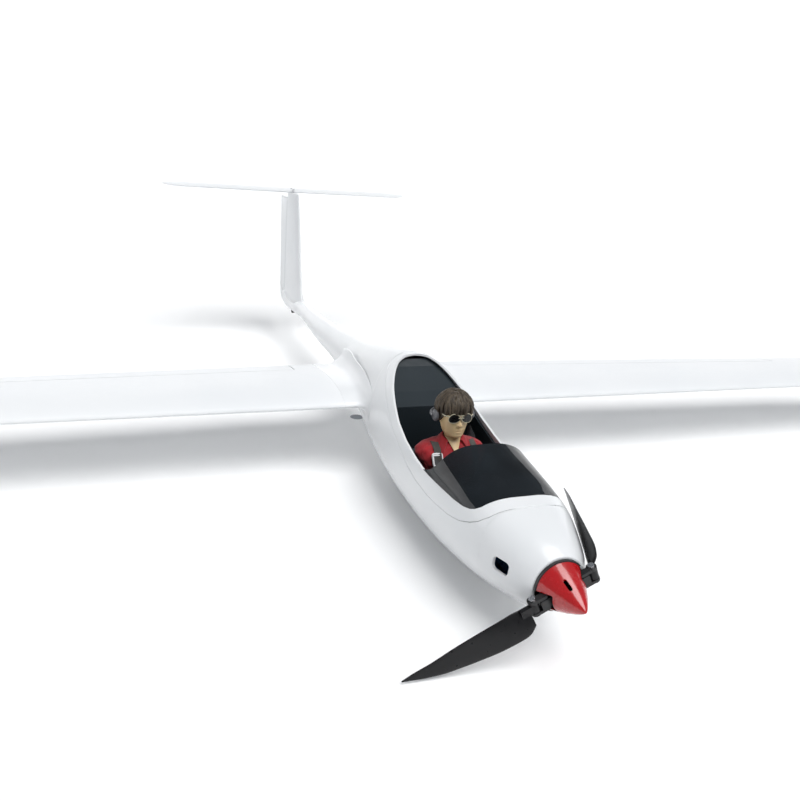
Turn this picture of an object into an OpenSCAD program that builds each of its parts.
// Electric radio-controlled glider with a folding propeller and a T-tail.
// Inside the modules, y runs aft from the spinner tip, x to port, and z up from the thrust line.

/* [Fuselage] */
// Overall length, spinner tip to rudder edge
overall_length = 1200; // [1196:1:1210]
// Wall thickness of the fuselage shell
wall = 2.4; // [1.6:0.2:3]
// Gap between the canopy hatch and the fuselage
hatch_gap = 0.4; // [0.3:0.1:0.8]

/* [Wing] */
// Distance from the centre line to each wing half's root
wing_root_x = 78; // [74:1:84]
// Distance from the centre line to the winglet joint
wing_tip_x = 1240; // [1200:10:1280]
// Chord on the centre line, before the taper
root_chord = 176; // [170:2:184]
// Thickness of the wing section over its chord
wing_thickness = 0.11; // [0.1:0.005:0.12]
// Upward angle of the outer panels
outer_dihedral = 2.5; // [0:0.5:4]
// Height of each winglet
winglet_height = 88; // [60:4:110]

/* [Tail] */
// Distance from the centre line to the stabilizer's tip
stab_half_span = 241; // [225:1:255]
// Chord of the stabilizer with its elevator
stab_chord = 86; // [80:1:90]
// Height of the stabilizer above the thrust line
stab_z = 219; // [216:1:224]

/* [Propeller] */
// Length of the spinner
spinner_length = 38; // [36:0.5:38]
// Radius of the spinner's base
spinner_r = 22.4; // [21.5:0.1:22.6]
// Distance from the shaft axis to each blade's hinge
blade_hinge_r = 28.2; // [28:0.1:28.6]
// Length of a blade from its hinge
blade_length = 121; // [110:1:124]
// Tilt of the blade line at rest
blade_tilt = 25; // [20:1:30]
// Fold of the port blade at rest
port_fold = 69; // [60:1:69]

/* [Wheels] */
// Radius of the main wheel's tyre
main_wheel_r = 25; // [24:0.5:26]
// Radius of the tail wheel
tail_wheel_r = 9; // [8:0.5:10]

/* [Hidden] */
$fn = 48;

white = "white";
slate = [0.16, 0.18, 0.21];
black = [0.05, 0.05, 0.06];
steel = [0.7, 0.7, 0.73];

// Main axle below the thrust line, and height of the thrust line above the ground under the main wheel
axle_drop = 41;
ground_z = main_wheel_r + axle_drop;
// Points around a fuselage section
ring_points = 36;
// Fuselage stations: y, half width, top, bottom, height of the widest point, squareness of the upper half
STATIONS = [
    [41, 25, 25.5, -24.5, 0, 2],
    [52, 32.5, 31.5, -30.5, 0, 2.1],
    [70, 39.5, 37.5, -35, 0, 2.4],
    [100, 47.5, 43.5, -41.5, -1, 3.1],
    [128, 51, 47.5, -47, -2, 3.4],
    [160, 53, 54, -52, -3, 3.2],
    [200, 55, 61.5, -56, -4, 3],
    [270, 56, 78, -56, -4, 2.8],
    [330, 54.5, 89, -50, -3, 2.7],
    [392, 50.5, 94, -40, 0, 2.45],
    [450, 44.5, 87, -31, 6, 2.35],
    [520, 37.5, 72, -24, 12, 2.2],
    [600, 29, 57, -17, 17, 2],
    [690, 22.5, 44.5, -9, 18, 2],
    [815, 18.5, 32.5, -7, 13, 2],
    [935, 13.5, 26, -1, 13, 2],
    [1040, 10, 22.5, -9, 8, 2],
    [1100, 8.5, 21.5, -13, 6, 2],
    [1140, 7, 20, -10, 5, 2]];
LAST = len(STATIONS) - 1;
// Stations where the skin is drawn
SKIN_Y = [41, 46, 52, 60, 70, 86, 104, 122, 140, 158, 176, 198, 222, 248, 276, 304, 332, 360, 384, 408,
    440, 480, 520, 560, 600, 650, 700, 760, 830, 900, 960, 1010, 1060, 1100, 1140];
// Side view of the cockpit opening's edge: y, z
SILL = [[111.5, 45.5], [112.3, 41.5], [114, 37], [118, 33.5], [123, 31.2], [132, 29.2], [149, 27.8],
    [172, 27.4], [203, 27.2], [221, 28], [240, 30.3], [270, 36], [300, 45], [325, 56.5], [350, 68.5],
    [370, 79.5], [384, 87.5], [392, 94.4]];
// Side view of the line where the canopy frame lifts off the fuselage
PARTING = [[96, 43.2], [100, 34], [107, 27], [116, 21.8], [131, 15.5], [152, 11], [175, 9], [200, 8.5],
    [228, 10.5], [250, 15], [272, 21], [304, 31.5], [331, 43.5], [357, 56], [379, 68.5], [396, 82],
    [403, 93.9]];
nose_y = STATIONS[0][0];
tail_y = STATIONS[len(STATIONS) - 1][0];
hatch_front = PARTING[0][0];
hatch_rear = PARTING[len(PARTING) - 1][0];
sill_front = SILL[0][0];
sill_rear = SILL[len(SILL) - 1][0];
// Height well above the fuselage, where the side outlines of the opening and the hatch are closed
above = 140;
// Inset of the hatch's ends, so that its gap stays even where its edge is steep
function eased(y) = y + hatch_gap * (250 - y) / 150;

wing_z = 24;
wing_le_y = 409;
flap_fraction = 0.76;
panel_break_x = 800;
flap_x = [112, 700];
aileron_x = [812, 1190];
flap_servo_x = 400;
aileron_servo_x = 890;
arm_length = 16;
rod_run = 46;
arm_drop = 5;
joiner_y = wing_le_y + 62;
joiner_r = 6;
joiner_reach = 330;

fin_base_z = 18;
fin_top_z = stab_z - 2;
rudder_hinge_y = 1118;
elevator_hinge_y = 1141;

prop_y = 32.8;
motor_r = 17;
mount_y = 48;
wheel_y = 345;
wheel_z = main_wheel_r - ground_z;
tail_wheel_y = 1057;
tail_wheel_z = -8;
// Middle of the pilot's head, and of the buckle on the chest
head_place = [-1, 268, 64];
buckle = [-22.5, 250.5, 20];
// Output axis and top face of the tail servos
servo_y = 511;
servo_top = 9;

// ---------- helpers ----------

function mix(a, b, t) = a + (b - a) * t;
function signed_pow(v, p) = sign(v) * pow(abs(v), p);
function span_of(y, k = 0) = (k >= LAST - 1 || y < STATIONS[k + 1][0]) ? k : span_of(y, k + 1);
function slope_at(k, c) =
    let (a = max(k - 1, 0), b = min(k + 1, LAST))
    (STATIONS[b][c] - STATIONS[a][c]) / (STATIONS[b][0] - STATIONS[a][0]);
// Smooth value of column c of the station table at y
function hull_at(y, c) =
    let (k = span_of(y), h = STATIONS[k + 1][0] - STATIONS[k][0], t = (y - STATIONS[k][0]) / h)
    STATIONS[k][c] * (2 * t * t * t - 3 * t * t + 1) + slope_at(k, c) * h * (t * t * t - 2 * t * t + t)
    + STATIONS[k + 1][c] * (3 * t * t - 2 * t * t * t) + slope_at(k + 1, c) * h * (t * t * t - t * t);
// One fuselage section at y, moved inwards by inset
function hull_ring(y, inset) =
    let (w = hull_at(y, 1) - inset, mid = hull_at(y, 4), up = hull_at(y, 2) - mid - inset,
        down = mid - hull_at(y, 3) - inset, p = hull_at(y, 5))
    [for (i = [0:ring_points - 1])
        let (a = 360 * i / ring_points, upper = sin(a) >= 0, q = upper ? 2 / p : 1)
        [w * signed_pow(cos(a), q), y, mid + (upper ? up : down) * signed_pow(sin(a), q)]];

// Half width of the hull at y, measured at height z above its widest point
function hull_half_at(y, z) =
    let (mid = hull_at(y, 4), p = hull_at(y, 5), t = min((z - mid) / (hull_at(y, 2) - mid), 1))
    hull_at(y, 1) * pow(1 - pow(t, p), 1 / p);

// Solid through a list of rings that all have the same number of points
module loft(rings) {
    n = len(rings[0]);
    m = len(rings);
    polyhedron(
        points = [for (r = rings) each r],
        faces = concat(
            [[for (i = [n - 1:-1:0]) i]],
            [for (j = [0:m - 2]) for (i = [0:n - 1])
                let (a = j * n + i, b = j * n + (i + 1) % n)
                each [[a, b, b + n], [a, b + n, a + n]]],
            [[for (i = [0:n - 1]) (m - 1) * n + i]]));
}

// The hull between y0 and y1, moved inwards by inset
module hull_solid(y0, y1, inset) {
    stations = concat([y0], [for (s = SKIN_Y) if (s > y0 + 3 && s < y1 - 3) s], [y1]);
    loft([for (y = stations) hull_ring(y, inset)]);
}

// Side outline, given as y and z, drawn across the whole width
module side_cut(outline, half_width = 90) {
    rotate([90, 0, 90])
        translate([0, 0, -half_width])
            linear_extrude(2 * half_width)
                polygon(outline);
}

// Moves from the spinner-tip frame to the part's own frame
module airframe() {
    translate([0, -overall_length / 2, ground_z])
        children();
}

module rod_between(a, b, r) {
    d = b - a;
    length = norm(d);
    translate(a)
        rotate([0, acos(d[2] / length), atan2(d[1], d[0])])
            cylinder(r = r, h = length);
}

// Cylinder along y, from y0 to y1
module y_cylinder(y0, y1, r, x = 0, z = 0) {
    translate([x, y1, z])
        rotate([90, 0, 0])
            cylinder(r = r, h = y1 - y0);
}

// Cylinder along x, from x0 to x1
module x_cylinder(x0, x1, r, y = 0, z = 0) {
    translate([x0, y, z])
        rotate([0, 90, 0])
            cylinder(r = r, h = x1 - x0);
}

module box(low, high) {
    translate(low)
        cube(high - low);
}

// ---------- wing shape ----------

function outer_part(x) = max(x - panel_break_x, 0) / (wing_tip_x - panel_break_x);
function wing_le(x) = wing_le_y - 0.003 * x + 28 * outer_part(x);
function wing_te(x) = wing_le_y + root_chord - 0.051 * x - 40 * outer_part(x);
function wing_chord(x) = wing_te(x) - wing_le(x);
function wing_height(x) = wing_z + max(x - panel_break_x, 0) * tan(outer_dihedral);
// Half thickness and camber of the section at fraction f of the chord
function half_thick(f) = 5 * (0.2969 * sqrt(f) - 0.126 * f - 0.3516 * f * f + 0.2843 * f * f * f
    - 0.1036 * f * f * f * f);
function camber(f) = f < 0.4 ? 0.125 * (0.8 * f - f * f) : 0.0556 * (0.2 + 0.8 * f - f * f);
function chord_steps(n) = [for (i = [0:n]) (1 - cos(180 * i / n)) / 2];
// Ring of a cambered section at x, from the trailing edge under to the leading edge and back over
function wing_ring(x, swell = 1, stretch = 0) =
    let (c = wing_chord(x) + stretch, z = wing_height(x), y = wing_le(x) - stretch * 0.15,
        s = chord_steps(13), edge = 0.5)
    concat(
        [for (i = [13:-1:0]) [x, y + c * s[i],
            z + c * (camber(s[i]) - swell * wing_thickness * half_thick(s[i])) - edge * s[i]]],
        [for (i = [1:13]) [x, y + c * s[i],
            z + c * (camber(s[i]) + swell * wing_thickness * half_thick(s[i])) + edge * s[i]]]);
function wing_surface_z(x, f, side) =
    wing_height(x) + wing_chord(x) * (camber(f) + side * wing_thickness * half_thick(f)) + side * 0.5 * f;
// Hinge line of a control surface at x, just under the upper skin
function hinge_point(x) =
    [x, wing_le(x) + flap_fraction * wing_chord(x), wing_surface_z(x, flap_fraction, 1) - 0.6];
function hinge_yaw(s) =
    let (a = hinge_point(s[0]), b = hinge_point(s[1]))
    atan2(b[1] - a[1], b[0] - a[0]);
function hinge_rise(s) =
    let (a = hinge_point(s[0]), b = hinge_point(s[1]))
    atan2(b[2] - a[2], norm([b[0] - a[0], b[1] - a[1]]));

// Frame whose x axis is a control surface's hinge line, at span position x
module at_hinge(s, x) {
    translate(hinge_point(x))
        rotate([0, 0, hinge_yaw(s)])
            rotate([0, -hinge_rise(s), 0])
                children();
}

module wing_half_solid() {
    loft([for (x = [wing_root_x, 300, 560, panel_break_x, 960, 1100, 1190, wing_tip_x]) wing_ring(x)]);
}

// Space behind the hinge line: the bay in the wing, or the bevelled surface itself
module surface_space(s, trim, bevel) {
    length = s[1] - s[0];
    at_hinge(s, s[0])
        rotate([90, 0, 90])
            translate([0, 0, trim])
                linear_extrude(length - 2 * trim)
                    polygon([[trim, 14], [trim, -0.6], [trim + bevel * 22, -22.6], [90, -22.6], [90, 14]]);
}

// Local place of the servo: its case lies ahead of the arm, with the output axis along the hinge direction
module servo_pocket(clear) {
    translate([-23, -rod_run - 8 - clear, -arm_drop - 5 - clear - 12])
        cube([18 + clear, 24 + 2 * clear, 10 + 2 * clear + 12]);
    if (clear > 0)
        translate([-6, -rod_run - 12, -arm_drop - 22])
            cube([9, 24, 26]);
}

module servo_case() {
    translate([-22.8, -rod_run - 8, -arm_drop - 5])
        cube([17, 24, 10]);
    translate([0, -rod_run, -arm_drop])
        x_cylinder(-5.8, -2.6, 4);
    translate([0, -rod_run, -arm_drop])
        x_cylinder(-2.6, 0.9, 1.6);
}

module servo_arm() {
    translate([0, -rod_run, -arm_drop])
        difference() {
            union() {
                x_cylinder(-0.8, 1.6, 3.2);
                x_cylinder(-0.8, 0.8, 2.4, 0, -arm_length);
                translate([-0.8, -1.9, -arm_length])
                    cube([1.6, 3.8, arm_length]);
            }
            x_cylinder(-2, 1.1, 1.65);
            x_cylinder(-2, 2, 1.2, 0, -arm_length);
        }
}

module control_rod() {
    top = [2.6, -rod_run, -arm_drop - arm_length];
    tail = [2.6, 0, -arm_length];
    rod_between(top, tail, 0.8);
    for (end = [top, tail]) {
        translate(end)
            sphere(r = 1, $fn = 24);
        x_cylinder(-1.8, end[0], 0.7, end[1], end[2]);
    }
}

// Nylon horn under a control surface, with its hole in line with the hinge
module control_horn(depth) {
    difference() {
        rotate([90, 0, 90])
            translate([0, 0, -0.8])
                linear_extrude(1.6)
                    polygon([[-1.6, -arm_length - 1.4], [1.4, -arm_length - 1.8], [17, -depth],
                        [9.5, -depth], [-1.6, -arm_length + 1.6]]);
        x_cylinder(-2, 2, 1.2, 0, -arm_length);
    }
}

// ---------- fuselage ----------

// Fillet that carries the wing root out of the hull
module wing_fairing() {
    loft([for (x = [-wing_root_x + 0.1, -70, -60, -50, -40, -26, 26, 40, 50, 60, 70, wing_root_x - 0.1])
        let (a = (wing_root_x - abs(x)) / 40, g = min(a, 1) * min(a, 1),
            r = wing_ring(abs(x), 1 + 1.1 * g, 22 * g))
        [for (p = r) [x, p[1], p[2]]]]);
}

// Cooling slot through both cheeks of the nose, beside the motor
module cooling_slot() {
    hull_side = 60;
    r = 4;
    for (y = [65.5, 75])
        for (z = [2.5, 6.5])
            x_cylinder(-hull_side, hull_side, r, y, z);
    box([-hull_side, 65.5, 2.5 - r], [hull_side, 75, 6.5 + r]);
    box([-hull_side, 65.5 - r, 2.5], [hull_side, 75 + r, 6.5]);
}

module fuselage_shell() {
    color(white)
        airframe() {
            wheel_plates();
            difference() {
                union() {
                    hull_solid(nose_y, tail_y, 0);
                    wing_fairing();
                }
                hull_solid(40, 700, wall);
                hull_solid(699, 1100, 1.6);
                side_cut(concat(PARTING, [[hatch_rear, above], [hatch_front, above]]));
                translate([-9.5, wheel_y - 29, -70])
                    cube([19, 58, 42]);
                translate([-3.4, tail_wheel_y - 11, -20])
                    cube([6.8, 22, 18]);
                x_cylinder(-90, 90, joiner_r + 0.05, joiner_y, wing_z + 4);
                cooling_slot();
                x_cylinder(-8, 8, 1.05, tail_wheel_y, tail_wheel_z + 2);
                loft([for (z = [fin_base_z, 60]) fin_ring(z)]);
                box([-20, rudder_hinge_y - 7, fin_base_z - 0.5], [20, 1160, 60]);
            }
        }
}

// Two ribs in the belly that carry the main wheel's axle
module wheel_plates() {
    difference() {
        intersection() {
            union() {
                box([-14, wheel_y - 12, -60], [-9.5, wheel_y + 12, wheel_z + 8]);
                box([9.5, wheel_y - 12, -60], [14, wheel_y + 12, wheel_z + 8]);
            }
            hull_solid(320, 370, wall - 0.6);
        }
        x_cylinder(-20, 20, 2.04, wheel_y, wheel_z);
    }
}

// ---------- power and radio ----------

module motor_mount() {
    color([0.1, 0.1, 0.11])
        airframe()
            difference() {
                y_cylinder(mount_y, mount_y + 3, 25.6);
                y_cylinder(mount_y - 1, mount_y + 4, 6);
                for (a = [45:90:315])
                    y_cylinder(mount_y - 1, mount_y + 4, 1.6, 10 * cos(a), 10 * sin(a));
            }
}

module motor_stator() {
    color([0.75, 0.5, 0.3])
        airframe()
            difference() {
                union() {
                    y_cylinder(mount_y + 3, mount_y + 6, 14);
                    y_cylinder(mount_y + 5, mount_y + 32, 6);
                    for (a = [0:30:330])
                        rotate([0, a, 0])
                            box([4, mount_y + 10, -1.2], [12.4, mount_y + 28, 1.2]);
                    difference() {
                        y_cylinder(mount_y + 10, mount_y + 28, 13.4);
                        y_cylinder(mount_y + 9, mount_y + 29, 12);
                    }
                }
                y_cylinder(mount_y, mount_y + 34, 2.55);
                for (a = [45:90:315])
                    y_cylinder(mount_y + 2, mount_y + 9, 1.35, 10 * cos(a), 10 * sin(a));
            }
}

module motor_rotor() {
    color("firebrick")
        airframe() {
            y_cylinder(prop_y - 12, mount_y + 40, 2.5);
            difference() {
                y_cylinder(mount_y + 8, mount_y + 38, motor_r);
                y_cylinder(mount_y + 7, mount_y + 34, 14);
                for (a = [0:60:300])
                    rotate([0, a, 0])
                        y_cylinder(mount_y + 30, mount_y + 39, 3, 9);
            }
        }
}

module motor_screws() {
    color(steel)
        airframe()
            for (a = [45:90:315]) {
                y_cylinder(mount_y - 2, mount_y, 2.8, 10 * cos(a), 10 * sin(a));
                y_cylinder(mount_y, mount_y + 7, 1.3, 10 * cos(a), 10 * sin(a));
            }
}

module speed_controller() {
    color("steelblue")
        airframe()
            box([-14, 106, -34], [14, 158, -24]);
}

module battery() {
    color([0.15, 0.25, 0.55])
        airframe()
            box([-17, 178, -46], [17, 294, -24]);
}

module battery_strap() {
    color(black)
        airframe()
            difference() {
                box([-18.4, 222, -47.4], [18.4, 242, -22.6]);
                box([-17, 221, -46], [17, 243, -24]);
            }
}

module receiver() {
    color([0.2, 0.2, 0.22])
        airframe()
            box([-13, 400, -26], [13, 448, -12]);
}

// Rudder and elevator servos stand in the belly behind the wing spar
module tail_servos() {
    color([0.12, 0.14, 0.2])
        airframe()
            for (x = [-15, 15]) {
                box([x - 6, servo_y - 6, servo_top - 22], [x + 6, servo_y + 18, servo_top]);
                translate([x, servo_y, servo_top])
                    cylinder(r = 4, h = 3.4);
                translate([x, servo_y, servo_top + 3.4])
                    cylinder(r = 1.6, h = 3);
            }
}

module tail_servo_arm(x) {
    translate([x, servo_y, servo_top + 4.2])
        difference() {
            union() {
                cylinder(r = 3.2, h = 3);
                translate([-1.9, 0, 0])
                    cube([3.8, 12, 1.8]);
            }
            translate([0, 0, -1])
                cylinder(r = 1.65, h = 3.4);
            translate([0, 9, -1])
                cylinder(r = 0.9, h = 4);
        }
}

module rudder_arm() {
    color(white)
        airframe()
            tail_servo_arm(-15);
}

module elevator_arm() {
    color(white)
        airframe()
            tail_servo_arm(15);
}

// Guide tubes that carry the flexible tail pushrods down the boom
module pushrod_guides() {
    color([0.85, 0.8, 0.5])
        airframe()
            for (x = [-5, 5]) {
                rod_between([x, 560, 12], [x, 960, 10], 1.5);
            }
}

// ---------- wing ----------

module wing_joiner() {
    color([0.08, 0.08, 0.09])
        airframe()
            difference() {
                x_cylinder(-joiner_reach, joiner_reach, joiner_r, joiner_y, wing_z + 4);
                x_cylinder(-joiner_reach - 1, joiner_reach + 1, joiner_r - 1.5, joiner_y, wing_z + 4);
            }
}

module wing_half() {
    airframe()
        difference() {
            wing_half_solid();
            x_cylinder(wing_root_x - 1, joiner_reach + 2, joiner_r + 0.05, joiner_y, wing_z + 4);
            surface_space(flap_x, -0.5, 0);
            surface_space(aileron_x, -0.5, 0);
            at_hinge(flap_x, flap_servo_x)
                servo_pocket(0.3);
            at_hinge(aileron_x, aileron_servo_x)
                servo_pocket(0.3);
        }
}

module wing_left() {
    color(white)
        wing_half();
}

module wing_right() {
    color(white)
        mirror([1, 0, 0])
            wing_half();
}

module wing_servos() {
    color([0.12, 0.14, 0.2])
        for (side = [0, 1])
            mirror([side, 0, 0])
                airframe() {
                    at_hinge(flap_x, flap_servo_x)
                        servo_case();
                    at_hinge(aileron_x, aileron_servo_x)
                        servo_case();
                }
}

// Upturned tip plate
module winglet() {
    rise = winglet_height;
    z = wing_height(wing_tip_x);
    airframe()
        loft([for (t = [0, 0.15, 0.3, 0.6, 1])
            let (c = mix(wing_chord(wing_tip_x), 34, pow(t, 0.8)),
                x = wing_tip_x + 0.3 + 22 * (1 - pow(1 - t, 3)), y = wing_te(wing_tip_x) - c + 16 * t * t,
                up = z + rise * pow(t, 1.6), lean = 85 * min(1, t * 3), s = chord_steps(7))
            concat(
                [for (i = [7:-1:0]) let (h = c * 0.09 * half_thick(s[i]) + 0.4)
                    [x + h * sin(lean), y + c * s[i], up - h * cos(lean)]],
                [for (i = [1:7]) let (h = c * 0.09 * half_thick(s[i]) + 0.4)
                    [x - h * sin(lean), y + c * s[i], up + h * cos(lean)]])]);
}

module winglet_left() {
    color(white)
        winglet();
}

module winglet_right() {
    color(white)
        mirror([1, 0, 0])
            winglet();
}

module control_surface(s, servo_x) {
    depth = wing_surface_z(servo_x, flap_fraction, 1) - wing_surface_z(servo_x, flap_fraction, -1);
    airframe() {
        intersection() {
            wing_half_solid();
            surface_space(s, 0.5, 0.55);
        }
        at_hinge(s, servo_x)
            control_horn(depth - 1.5);
    }
}

module flap_left() {
    color(white)
        control_surface(flap_x, flap_servo_x);
}

module flap_right() {
    color(white)
        mirror([1, 0, 0])
            control_surface(flap_x, flap_servo_x);
}

module aileron_left() {
    color(white)
        control_surface(aileron_x, aileron_servo_x);
}

module aileron_right() {
    color(white)
        mirror([1, 0, 0])
            control_surface(aileron_x, aileron_servo_x);
}

module surface_link(side, s, x) {
    mirror([side, 0, 0])
        airframe()
            at_hinge(s, x)
                children();
}

module flap_arm_left() {
    color(white)
        surface_link(0, flap_x, flap_servo_x)
            servo_arm();
}

module flap_arm_right() {
    color(white)
        surface_link(1, flap_x, flap_servo_x)
            servo_arm();
}

module aileron_arm_left() {
    color(white)
        surface_link(0, aileron_x, aileron_servo_x)
            servo_arm();
}

module aileron_arm_right() {
    color(white)
        surface_link(1, aileron_x, aileron_servo_x)
            servo_arm();
}

module flap_rod_left() {
    color(steel)
        surface_link(0, flap_x, flap_servo_x)
            control_rod();
}

module flap_rod_right() {
    color(steel)
        surface_link(1, flap_x, flap_servo_x)
            control_rod();
}

module aileron_rod_left() {
    color(steel)
        surface_link(0, aileron_x, aileron_servo_x)
            control_rod();
}

module aileron_rod_right() {
    color(steel)
        surface_link(1, aileron_x, aileron_servo_x)
            control_rod();
}

// ---------- tail ----------

// Level section of the fin and rudder at height z
function fin_ring(z) =
    let (t = (z - fin_base_z) / (fin_top_z - fin_base_z), le = mix(984, 1042, pow(t, 0.9)),
        te = mix(1187, 1199, t), c = te - le, s = chord_steps(9), thick = mix(0.085, 0.07, t))
    concat(
        [for (i = [9:-1:0]) [c * thick * half_thick(s[i]) + 0.6 * s[i], le + c * s[i], z]],
        [for (i = [1:9]) [-c * thick * half_thick(s[i]) - 0.6 * s[i], le + c * s[i], z]]);

module fin() {
    color(white)
        airframe()
            difference() {
                loft([for (z = [fin_base_z, 60, 110, 160, fin_top_z]) fin_ring(z)]);
                box([-30, rudder_hinge_y - 6.5, 0], [30, 1260, 300]);
                stab_screw_holes(200, 1.55);
            }
}

module stab_screw_holes(z, r) {
    for (y = [1088, 1104])
        translate([0, y, z])
            cylinder(r = r, h = 40);
}

// The rudder turns on its hinge line, with a bevel to each side
module rudder() {
    color(white)
        airframe()
            union() {
                intersection() {
                    loft([for (z = [fin_base_z, 60, 110, 160, 203]) fin_ring(z)]);
                    translate([0, rudder_hinge_y, 0])
                        linear_extrude(300)
                            polygon([[0.6, -5.8], [-0.6, -5.8], [-9, 12], [-9, 140], [9, 140], [9, 12]]);
                }
                loft([for (z = [-6, 2, 10, fin_base_z])
                    let (t = (z + 6) / (fin_base_z + 6), end = mix(1168, 1187, sqrt(t)))
                    [[0.6, end, z], [3.4, 1146, z], [2, 1143.5, z], [-2, 1143.5, z], [-3.4, 1146, z],
                        [-0.6, end, z]]]);
            }
}

// Rounded plan of the tailplane: chord at x
function stab_ring(x) =
    let (tip = max(0, (abs(x) - stab_half_span + 34) / 34),
        c = stab_chord * (1 - 0.1 * abs(x) / stab_half_span) * sqrt(max(1 - 0.86 * tip * tip, 0.02)),
        y = elevator_hinge_y - 0.62 * c, s = chord_steps(9))
    concat(
        [for (i = [9:-1:0]) [x, y + c * s[i], stab_z - c * 0.085 * half_thick(s[i]) - 0.5 * s[i]]],
        [for (i = [1:9]) [x, y + c * s[i], stab_z + c * 0.085 * half_thick(s[i]) + 0.5 * s[i]]]);

module stab_solid() {
    h = stab_half_span;
    loft([for (x = [-h, 4 - h, 10 - h, 20 - h, 34 - h, 0, h - 34, h - 20, h - 10, h - 4, h]) stab_ring(x)]);
}

module stabilizer() {
    color(white)
        airframe()
            difference() {
                stab_solid();
                box([-stab_half_span + 18, elevator_hinge_y - 0.5, 200], [stab_half_span - 18, 1220, 240]);
                loft([for (z = [160, fin_top_z]) fin_ring(z)]);
                stab_screw_holes(200, 1.55);
            }
}

// The elevator turns on the middle of its front face
module elevator() {
    w = stab_half_span - 18.6;
    color(white)
        airframe()
            intersection() {
                stab_solid();
                translate([0, elevator_hinge_y, stab_z])
                    rotate([90, 0, 90])
                        translate([0, 0, -w])
                            linear_extrude(2 * w)
                                polygon([[0.3, 0.3], [0.3, -0.3], [5, -8], [60, -8], [60, 8], [5, 8]]);
            }
}

module stabilizer_screws() {
    color(steel)
        airframe()
            for (y = [1088, 1104]) {
                translate([0, y, stab_z + 3.7])
                    cylinder(r = 2.8, h = 1.4);
                translate([0, y, stab_z - 12])
                    cylinder(r = 1.5, h = 15.8);
            }
}

// ---------- wheels ----------

module main_axle() {
    color(steel)
        airframe()
            x_cylinder(-15, 15, 2, wheel_y, wheel_z);
}

module main_tyre() {
    color([0.07, 0.07, 0.07])
        airframe()
            translate([0, wheel_y, wheel_z])
                rotate([0, 90, 0])
                    rotate_extrude($fn = 64)
                        difference() {
                            translate([main_wheel_r - 6.5, 0])
                                circle(r = 6.5);
                            translate([0, -10])
                                square([main_wheel_r - 9, 20]);
                        }
}

module main_hub() {
    color(white)
        airframe()
            translate([0, wheel_y, wheel_z])
                rotate([0, 90, 0])
                    difference() {
                        union() {
                            translate([0, 0, -4.5])
                                cylinder(r = main_wheel_r - 9, h = 9);
                            translate([0, 0, -7])
                                cylinder(r = 5, h = 14);
                        }
                        translate([0, 0, -10])
                            cylinder(r = 2.06, h = 20);
                        for (a = [0:72:288])
                            rotate([0, 0, a])
                                translate([10.4, 0, -10])
                                    cylinder(r = 2.6, h = 20);
                    }
}

module tail_axle() {
    color(steel)
        airframe()
            x_cylinder(-5.6, 5.6, 1, tail_wheel_y, tail_wheel_z + 2);
}

module tail_wheel() {
    color([0.07, 0.07, 0.07])
        airframe()
            translate([0, tail_wheel_y, tail_wheel_z + 2])
                rotate([0, 90, 0])
                    difference() {
                        translate([0, 0, -2.4])
                            cylinder(r = tail_wheel_r, h = 4.8);
                        translate([0, 0, -5])
                            cylinder(r = 1.06, h = 10);
                    }
}

// ---------- propeller ----------

// Spinner outline: radius at y
function spinner_radius(y) = spinner_r * pow(min(y / spinner_length, 1), 0.75);

module spinner_form(inset) {
    steps = 18;
    rotate([-90, 0, 0])
        rotate_extrude($fn = 72)
            polygon(concat(
                [[0, spinner_length], [0, inset]],
                [for (i = [1:steps]) let (y = spinner_length * i / steps)
                    [max(spinner_radius(y) - inset, 0.5), y + (i == steps ? 0 : inset * (1 - i / steps))]]));
}

// Frame of the blade line: x runs out to the port blade's hinge
module blade_line() {
    translate([0, prop_y, 0])
        rotate([0, -blade_tilt, 0])
            children();
}

module spinner() {
    color("red")
        airframe()
            difference() {
                spinner_form(0);
                translate([0, 0.01, 0])
                    spinner_form(1.6);
                blade_line()
                    box([-40, -9, -8.4], [40, 10, 8.4]);
                blade_line()
                    rotate([0, 90, 0])
                        translate([0, -12, 12])
                            cylinder(r = 2, h = 30);
            }
}

module spinner_backplate() {
    color(black)
        airframe()
            difference() {
                y_cylinder(spinner_length + 0.1, spinner_length + 2.6, spinner_r + 1.3);
                y_cylinder(spinner_length - 1, spinner_length + 3, 2.55);
                blade_line()
                    for (side = [-1, 1])
                        box([side * 30 - 12, -9, -8.4], [side * 30 + 12, 10, 8.4]);
            }
}

module prop_yoke() {
    color(black)
        airframe()
            blade_line()
                difference() {
                    union() {
                        box([-blade_hinge_r + 5, -4.5, -4], [blade_hinge_r - 5, 3, 4]);
                        rotate([90, 0, 0])
                            translate([0, 0, -3])
                                cylinder(r = 8, h = 12);
                        for (side = [-1, 1])
                            for (v = [-7.4, 4.6]) {
                                translate([side * blade_hinge_r, 0, v])
                                    cylinder(r = 4.4, h = 2.8);
                                translate([side * (blade_hinge_r - 7) - 5, -4, v])
                                    cube([10, 6, 2.8]);
                            }
                        for (x = [8 - blade_hinge_r, blade_hinge_r - 8])
                            box([x - 2, -4, -7.4], [x + 2, 2, 7.4]);
                    }
                    for (side = [-1, 1])
                        translate([side * blade_hinge_r, 0, -10])
                            cylinder(r = 1.55, h = 20);
                    rotate([90, 0, 0])
                        translate([0, 0, -12])
                            cylinder(r = 2.55, h = 30);
                }
}

module hinge_screws() {
    color(steel)
        airframe()
            blade_line()
                for (side = [-1, 1])
                    translate([side * blade_hinge_r, 0, 0]) {
                        translate([0, 0, -7.4])
                            cylinder(r = 1.5, h = 14.8);
                        translate([0, 0, 7.4])
                            cylinder(r = 2.8, h = 1.8);
                        translate([0, 0, -9.2])
                            cylinder(r = 2.8, h = 1.8, $fn = 6);
                    }
}

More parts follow.
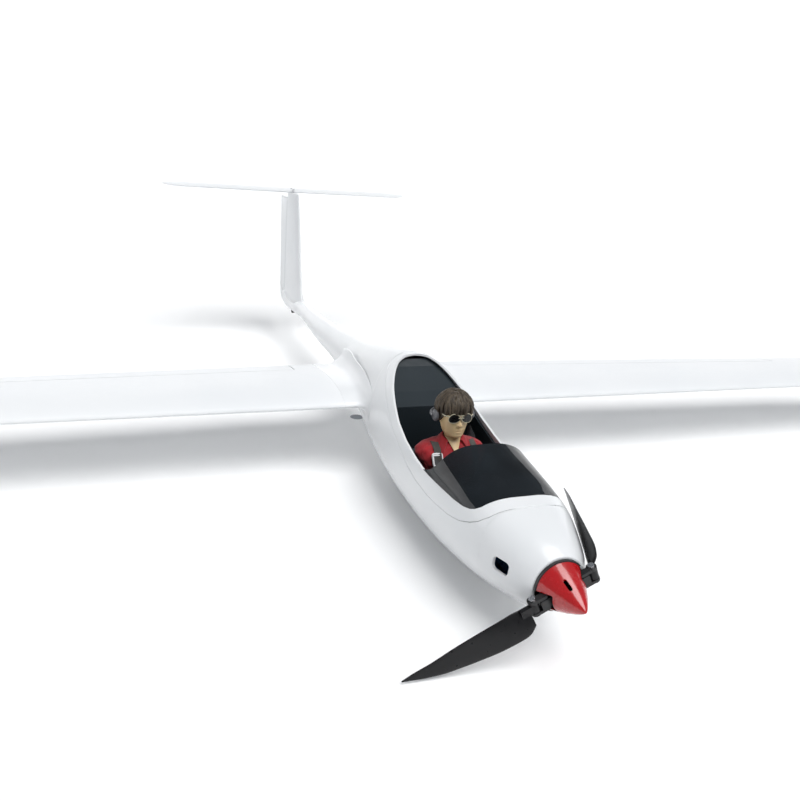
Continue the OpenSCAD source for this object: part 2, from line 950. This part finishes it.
// Blade outline: distance from the hinge, and the blade's reach ahead of and behind the pin's line
LEADING = [[5.2, 13.8], [11, 18.3], [17, 20], [43, 20.4], [63, 18], [89, 13.2], [104, 8], [115, 3.2],
    [121, 0.6]];
TRAILING = [[5.2, 2.4], [11, 3.2], [18, 4], [29, 3.8], [51, 3.6], [73, 3], [95, 1.5], [110, 1.4],
    [121, 0.6]];
BLADE_S = [5.2, 7, 9, 12, 16, 22, 32, 43, 53, 63, 76, 89, 97, 104, 110, 115, 119, 121];
blade_tip = BLADE_S[len(BLADE_S) - 1];
// Forward travel of the blades in one turn
blade_turn = 120;
function blade_ring(s) =
    let (lead = lookup(s, LEADING), trail = lookup(s, TRAILING), c = (lead + trail) / 2, t = s / blade_tip,
        pitch = atan(blade_turn / (2 * PI * (blade_hinge_r + s))), h = mix(1.4, 0.5, t),
        x = s * blade_length / blade_tip)
    [for (i = [15:-1:0]) let (a = 360 * i / 16, u = c * cos(a) + (lead - trail) / 2, v = h * sin(a))
        [x, -u * sin(pitch) - v * cos(pitch), u * cos(pitch) - v * sin(pitch)]];

// A blade whose root eye turns on the hinge at the origin; it points along +x
module blade() {
    difference() {
        union() {
            translate([0, 0, -4.2])
                cylinder(r = 4.2, h = 8.4);
            box([1, -3.4, -4.2], [12, 1.2, 4.2]);
            loft([for (s = BLADE_S) blade_ring(s)]);
        }
        translate([0, 0, -10])
            cylinder(r = 1.56, h = 20);
    }
}

module blade_starboard() {
    color(black)
        airframe()
            blade_line()
                rotate([0, 180, 0])
                    translate([blade_hinge_r, 0, 0])
                        blade();
}

module blade_port() {
    color(black)
        airframe()
            blade_line()
                translate([blade_hinge_r, 0, 0])
                    rotate([0, 0, port_fold])
                        blade();
}

// ---------- canopy hatch ----------

function lifted(line, d) = [for (p = line) [p[0], p[1] + d]];

module canopy_frame() {
    color(white)
        airframe()
            difference() {
                intersection() {
                    hull_solid(90, 412, 0);
                    side_cut(concat([for (p = PARTING) [eased(p[0]), p[1] + hatch_gap]],
                        [[eased(hatch_rear), above], [eased(hatch_front), above]]));
                }
                hull_solid(89, 413, wall);
                side_cut(concat(SILL, [[sill_rear, above], [sill_front, above]]));
            }
}

// Side view of the glass, which ends in a raked arch
GLASS = [[100, -10], [238, -10], [238, 22], [228, 25.5], [219, 28.5], [209, 33], [203, 37], [197, 44],
    [194.5, 51], [194, 57], [195, 63], [195, above], [100, above]];

// Smoked glass over the nose of the cockpit
module windshield() {
    color([0.2, 0.25, 0.32, 0.5])
        airframe()
            difference() {
                intersection() {
                    hull_solid(106, 240, 0);
                    side_cut(concat(lifted(SILL, 0.1), [[sill_rear, above], [sill_front, above]]));
                    side_cut(GLASS);
                }
                hull_solid(105, 241, 1.2);
            }
}

// Plan of the tub: it stays inside the opening, so that the hatch lifts straight out
function tub_half_width(y) = hull_half_at(y, lookup(y, PARTING)) - wall - 1.6;

// Dark tub under the glass: floor, side walls and the deck behind the pilot
module cockpit_tub() {
    deck = 328;
    port = [for (y = [120:12:396]) [tub_half_width(y), y]];
    starboard = [for (y = [396:-12:120]) [-tub_half_width(y), y]];
    room = [[120, 60], [126, 4], [152, -17], [297, -17], [deck, 0], [deck, 100]];
    underside = [[398, 70], [345, 10], [312, -20], [150, -20], [118, 0]];
    color(slate)
        airframe()
            difference() {
                intersection() {
                    translate([0, 0, -30])
                        linear_extrude(140)
                            polygon(concat(port, starboard));
                    hull_solid(112, 400, wall + 0.5);
                    side_cut(concat(lifted(SILL, -6.8), underside));
                }
                side_cut(room, 44);
                intersection() {
                    hull_solid(112, 400, wall + 3);
                    side_cut(room);
                }
                side_cut([[deck + 3, -10], [deck + 3, 48], [350, 58.6], [393, 84], [398, 70], [345, 6]], 40);
            }
}

module instrument_panel() {
    color(black)
        airframe()
            difference() {
                union() {
                    y_cylinder(152, 184, 26, 0, 8);
                    box([-26, 152, -17], [26, 184, 8]);
                }
                box([-40, 130, -50], [40, 200, -16.9]);
                box([-14, 168, -20], [14, 190, 4]);
            }
}

module pilot_torso() {
    color("firebrick")
        airframe()
            hull() {
                for (x = [-28, 28])
                    translate([x, 276, 20])
                        sphere(r = 12, $fn = 24);
                translate([0, 262, 12])
                    sphere(r = 20, $fn = 24);
                box([-30, 256, -16.8], [30, 290, -10]);
            }
}

module pilot_head() {
    color([0.85, 0.65, 0.5])
        airframe()
            translate(head_place) {
                hull() {
                    sphere(r = 17, $fn = 28);
                    translate([0, -6, -14])
                        sphere(r = 10, $fn = 24);
                }
                translate([0, 2, -31])
                    cylinder(r = 8, h = 16);
                hull() {
                    translate([0, -16, -2])
                        sphere(r = 2, $fn = 16);
                    translate([0, -19, -7])
                        sphere(r = 2.6, $fn = 16);
                }
            }
}

module pilot_hair() {
    color([0.25, 0.17, 0.12])
        airframe()
            translate(head_place)
                difference() {
                    translate([0, 4, 7])
                        sphere(r = 21.5);
                    sphere(r = 17.4);
                    box([-30, -28, -22], [30, -7, 9]);
                    box([-30, -28, -32], [30, 42, -8]);
                }
}

module pilot_sunglasses() {
    color(black)
        airframe()
            translate(head_place) {
                for (side = [-1, 1]) {
                    y_cylinder(-20, -17, 5.2, side * 6.6, 3);
                    box([side * 14 - 4, -18.4, 3], [side * 14 + 4, -17, 5]);
                    box([side * 18 - 0.6, -18, 3], [side * 18 + 0.6, -2, 5]);
                }
                box([-3, -19.4, 3], [3, -17.6, 5]);
            }
}

// Ear cups on a band that runs behind the head
module pilot_headset() {
    color(black)
        airframe()
            translate(head_place) {
                for (side = [-1, 1])
                    x_cylinder(side * 20.8 - 2.4, side * 20.8 + 2.4, 6.5, 2, -1);
                translate([0, 2, -3])
                    difference() {
                        cylinder(r = 26.4, h = 4);
                        translate([0, 0, -1])
                            cylinder(r = 24.8, h = 6);
                        box([-40, -40, -5], [40, 0, 10]);
                    }
                for (side = [-1, 1])
                    box([side * 24 - 2.4, -1, -3], [side * 24 + 2.4, 3, 1]);
            }
}

module harness_strap() {
    color([0.42, 0.38, 0.34])
        airframe()
            for (side = [-1, 1])
                hull() {
                    translate([side * 21, 273, 32])
                        cube([8, 6, 2], center = true);
                    translate([side * 22, 254, 23])
                        cube([8, 3, 4], center = true);
                }
}

module harness_buckle() {
    color(steel)
        airframe()
            difference() {
                translate(buckle)
                    rotate([-30, 0, 0])
                        cube([10, 2.4, 12], center = true);
                translate(buckle)
                    rotate([-30, 0, 0])
                        cube([6, 6, 6], center = true);
            }
}

fuselage_shell();
motor_mount();
motor_stator();
motor_rotor();
motor_screws();
speed_controller();
battery();
battery_strap();
receiver();
tail_servos();
wing_servos();
pushrod_guides();
wing_joiner();
wing_left();
wing_right();
winglet_left();
winglet_right();
flap_left();
flap_right();
aileron_left();
aileron_right();
flap_arm_left();
flap_arm_right();
aileron_arm_left();
aileron_arm_right();
flap_rod_left();
flap_rod_right();
aileron_rod_left();
aileron_rod_right();
rudder_arm();
elevator_arm();
fin();
rudder();
stabilizer();
elevator();
stabilizer_screws();
main_axle();
main_tyre();
main_hub();
tail_axle();
tail_wheel();
spinner();
spinner_backplate();
prop_yoke();
hinge_screws();
blade_starboard();
blade_port();
canopy_frame();
windshield();
cockpit_tub();
instrument_panel();
pilot_torso();
pilot_head();
pilot_hair();
pilot_sunglasses();
pilot_headset();
harness_strap();
harness_buckle();
